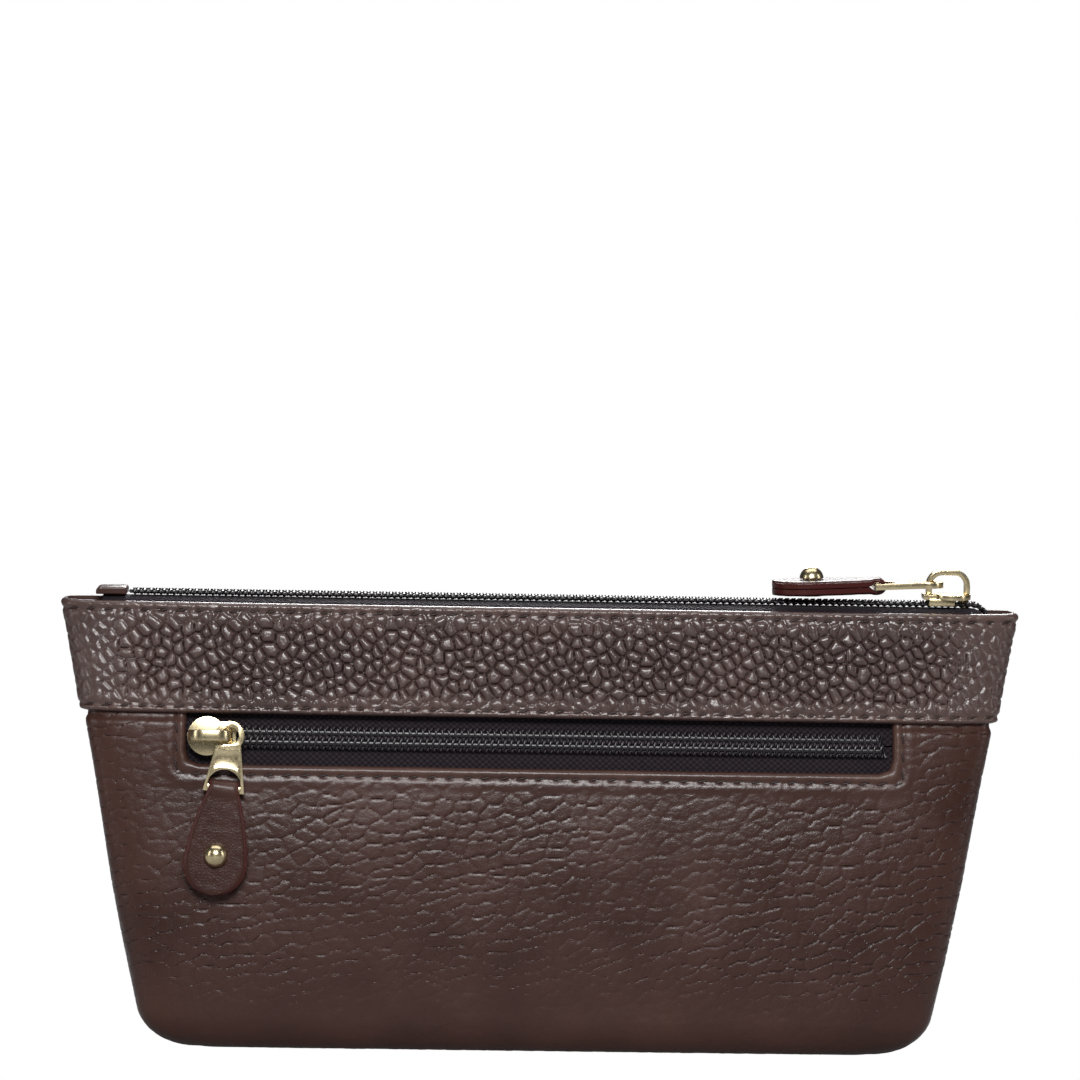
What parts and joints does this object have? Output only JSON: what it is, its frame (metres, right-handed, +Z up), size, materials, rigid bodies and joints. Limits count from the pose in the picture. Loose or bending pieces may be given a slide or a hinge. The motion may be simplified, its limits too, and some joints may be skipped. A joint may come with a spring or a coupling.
{
  "type": "zippered pouch",
  "caption": "Small leather pouch with a stitched top band, a zip along the top, a zipped front pocket and riveted leather pullers on metal sliders.",
  "frame": {"origin": "middle of the underside of the base, where it stands", "axes": "+X along the width to the right, +Y from the front (pocket side) to the back, +Z up"},
  "size_m": [0.1926, 0.0389, 0.0972],
  "materials": {
    "body_leather": "pebbled, semi-gloss",
    "puller_leather": "smooth with painted edges",
    "zip_metal": "polished pale gold plating",
    "lining_cloth": "plain weave",
    "zip_tape": "herringbone tape",
    "zip_coil": "nylon coil"
  },
  "bodies": {
    "front": {"front_panel": "body_leather", "front_band": "body_leather", "base_panel": "body_leather", "left_end_tab": "body_leather", "front_lining": "lining_cloth", "base_lining": "lining_cloth", "pocket_bag_front": "lining_cloth", "pocket_bag_back": "lining_cloth", "pocket_tape_upper": "zip_tape", "pocket_tape_lower": "zip_tape", "top_tape_front": "zip_tape", "pocket_coil_upper": "zip_coil", "pocket_coil_lower": "zip_coil", "top_coil_front": "zip_coil"},
    "back_wall": {"back_panel": "body_leather", "back_band": "body_leather", "back_lining": "lining_cloth", "top_tape_back": "zip_tape", "top_coil_back": "zip_coil"},
    "top_slider": {"top_slider_body": "zip_metal", "top_slider_bridge": "zip_metal"},
    "top_pull": {"top_pull_tab": "zip_metal"},
    "top_puller": {"top_puller_leather": "puller_leather", "top_puller_rivet_cap": "zip_metal", "top_puller_rivet_back": "zip_metal"},
    "pocket_slider": {"pocket_slider_body": "zip_metal", "pocket_slider_bridge": "zip_metal"},
    "pocket_pull": {"pocket_pull_tab": "zip_metal"},
    "pocket_puller": {"pocket_puller_leather": "puller_leather", "pocket_puller_rivet_cap": "zip_metal", "pocket_puller_rivet_back": "zip_metal"}
  },
  "joints": [
    {"name": "mouth_open", "type": "hinge", "parent": "front", "child": "back_wall", "pos_m": [0, 0.0145, 0.0004], "axis": [-1, 0, 0], "range_deg": [0, 10], "deforming": ["top_coil_back", "top_tape_back"]},
    {"name": "top_slider_slide", "type": "slide", "parent": "front", "child": "top_slider", "axis": [-1, 0, 0], "range_m": [0, 0.1581]},
    {"name": "top_pull_lift", "type": "hinge", "parent": "top_slider", "child": "top_pull", "pos_m": [0.0809, 0, 0.0939], "axis": [0, 1, 0], "range_deg": [0, 90]},
    {"name": "top_puller_flex", "type": "hinge", "parent": "top_pull", "child": "top_puller", "pos_m": [0.06776, 0, 0.09355], "axis": [0, 1, 0], "range_deg": [0, 60]},
    {"name": "pocket_slider_slide", "type": "slide", "parent": "front", "child": "pocket_slider", "axis": [1, 0, 0], "range_m": [0, 0.131]},
    {"name": "pocket_pull_swing", "type": "hinge", "parent": "pocket_slider", "child": "pocket_pull", "pos_m": [-0.0618, -0.01376, 0.06261], "axis": [0, -0.9898, 0.1426], "range_deg": [-12, 80]},
    {"name": "pocket_puller_lift", "type": "hinge", "parent": "pocket_pull", "child": "pocket_puller", "pos_m": [-0.06281, -0.01526, 0.05222], "axis": [-0.9954, 0.0137, 0.0949], "range_deg": [0, 100]}
  ],
  "couplings": [
    {"joint": "top_slider_slide", "follows": "mouth_open", "m_per_rad": 0.9053}
  ]
}
